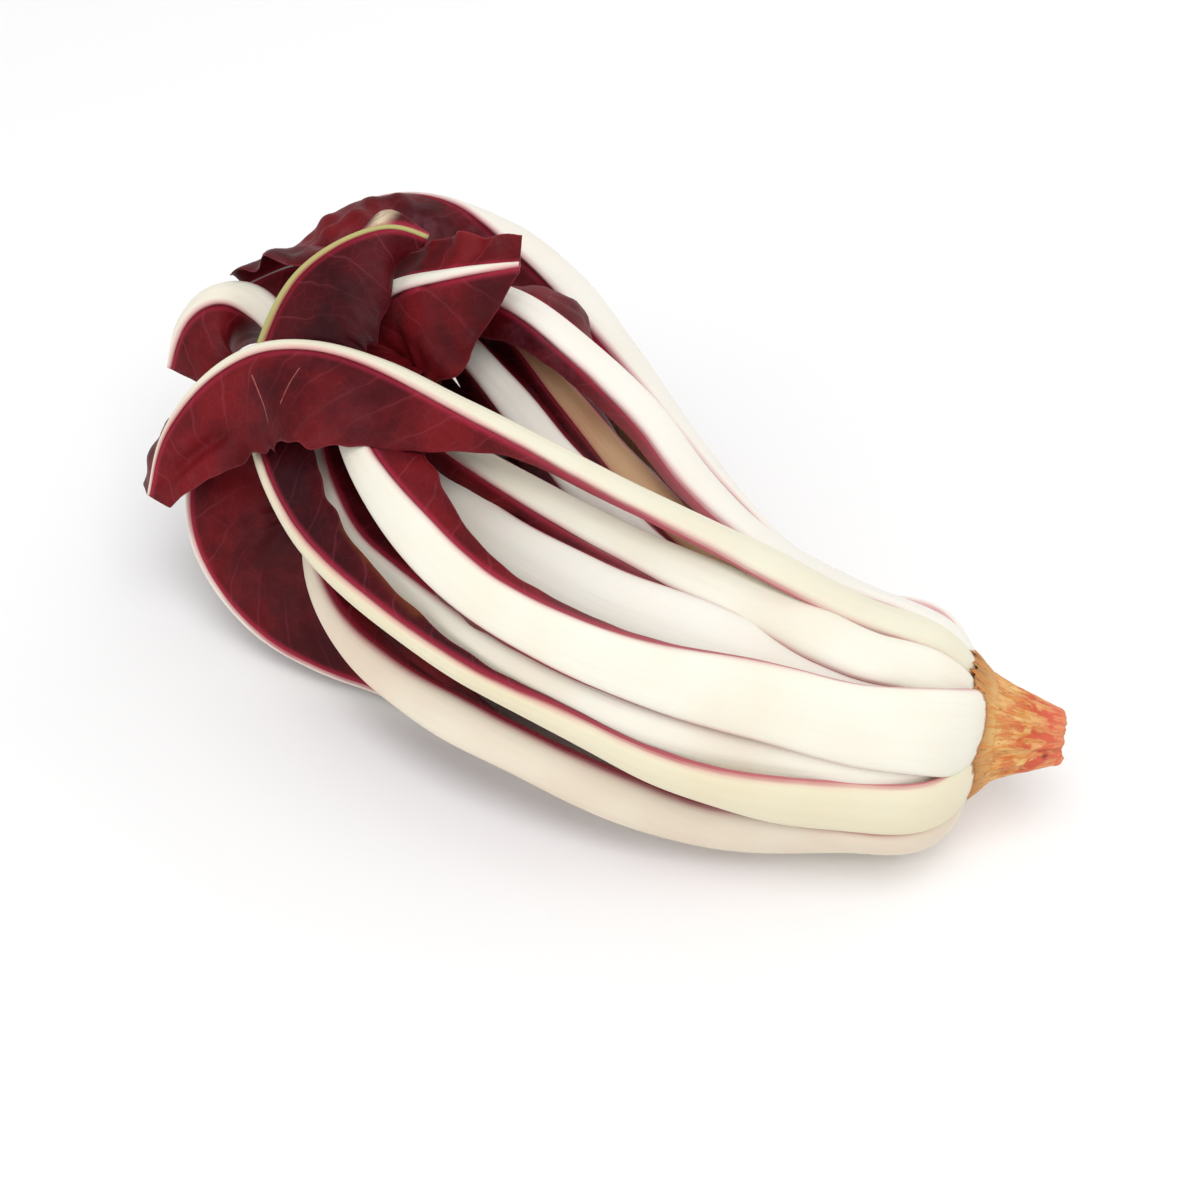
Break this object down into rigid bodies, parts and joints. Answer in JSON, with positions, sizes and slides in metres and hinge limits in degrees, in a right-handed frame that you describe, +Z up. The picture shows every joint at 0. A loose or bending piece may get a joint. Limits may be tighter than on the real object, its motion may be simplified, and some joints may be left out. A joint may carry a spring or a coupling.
{
  "type": "radicchio head",
  "caption": "Head of late red radicchio lying on its side, with thick white ribs, narrow crimson blades that curl at the tips and a trimmed root stub",
  "frame": {"origin": "on the ground plane, under the middle of the outline", "axes": "+X along the head towards the trimmed root, -Y towards the near side, +Z up"},
  "size_m": [0.1959, 0.0998, 0.0831],
  "materials": {
    "leaf": "satin leaf tissue, creamy white ribs and crimson blades",
    "root": "dull pared root, orange with red patches"
  },
  "bodies": {
    "root": {"root": "root", "outer_leaf_top": "leaf", "outer_leaf_near_top": "leaf", "outer_leaf_near_high": "leaf", "outer_leaf_near_low": "leaf", "outer_leaf_belly_near": "leaf", "outer_leaf_belly_mid": "leaf", "outer_leaf_belly_centre": "leaf", "outer_leaf_belly_far": "leaf", "outer_leaf_far_low": "leaf", "outer_leaf_far_high": "leaf", "outer_leaf_crest": "leaf", "second_leaf_near_high": "leaf", "second_leaf_near_low": "leaf", "middle_leaf_belly_near": "leaf", "middle_leaf_belly_mid": "leaf", "middle_leaf_belly_far": "leaf", "middle_leaf_far_low": "leaf", "middle_leaf_far_high": "leaf", "middle_leaf_crest": "leaf", "inner_leaf_crest": "leaf", "inner_leaf_far_high": "leaf", "inner_leaf_near": "leaf", "inner_leaf_low": "leaf", "inner_leaf_far_low": "leaf", "heart_leaf": "leaf"}
  },
  "joints": []
}
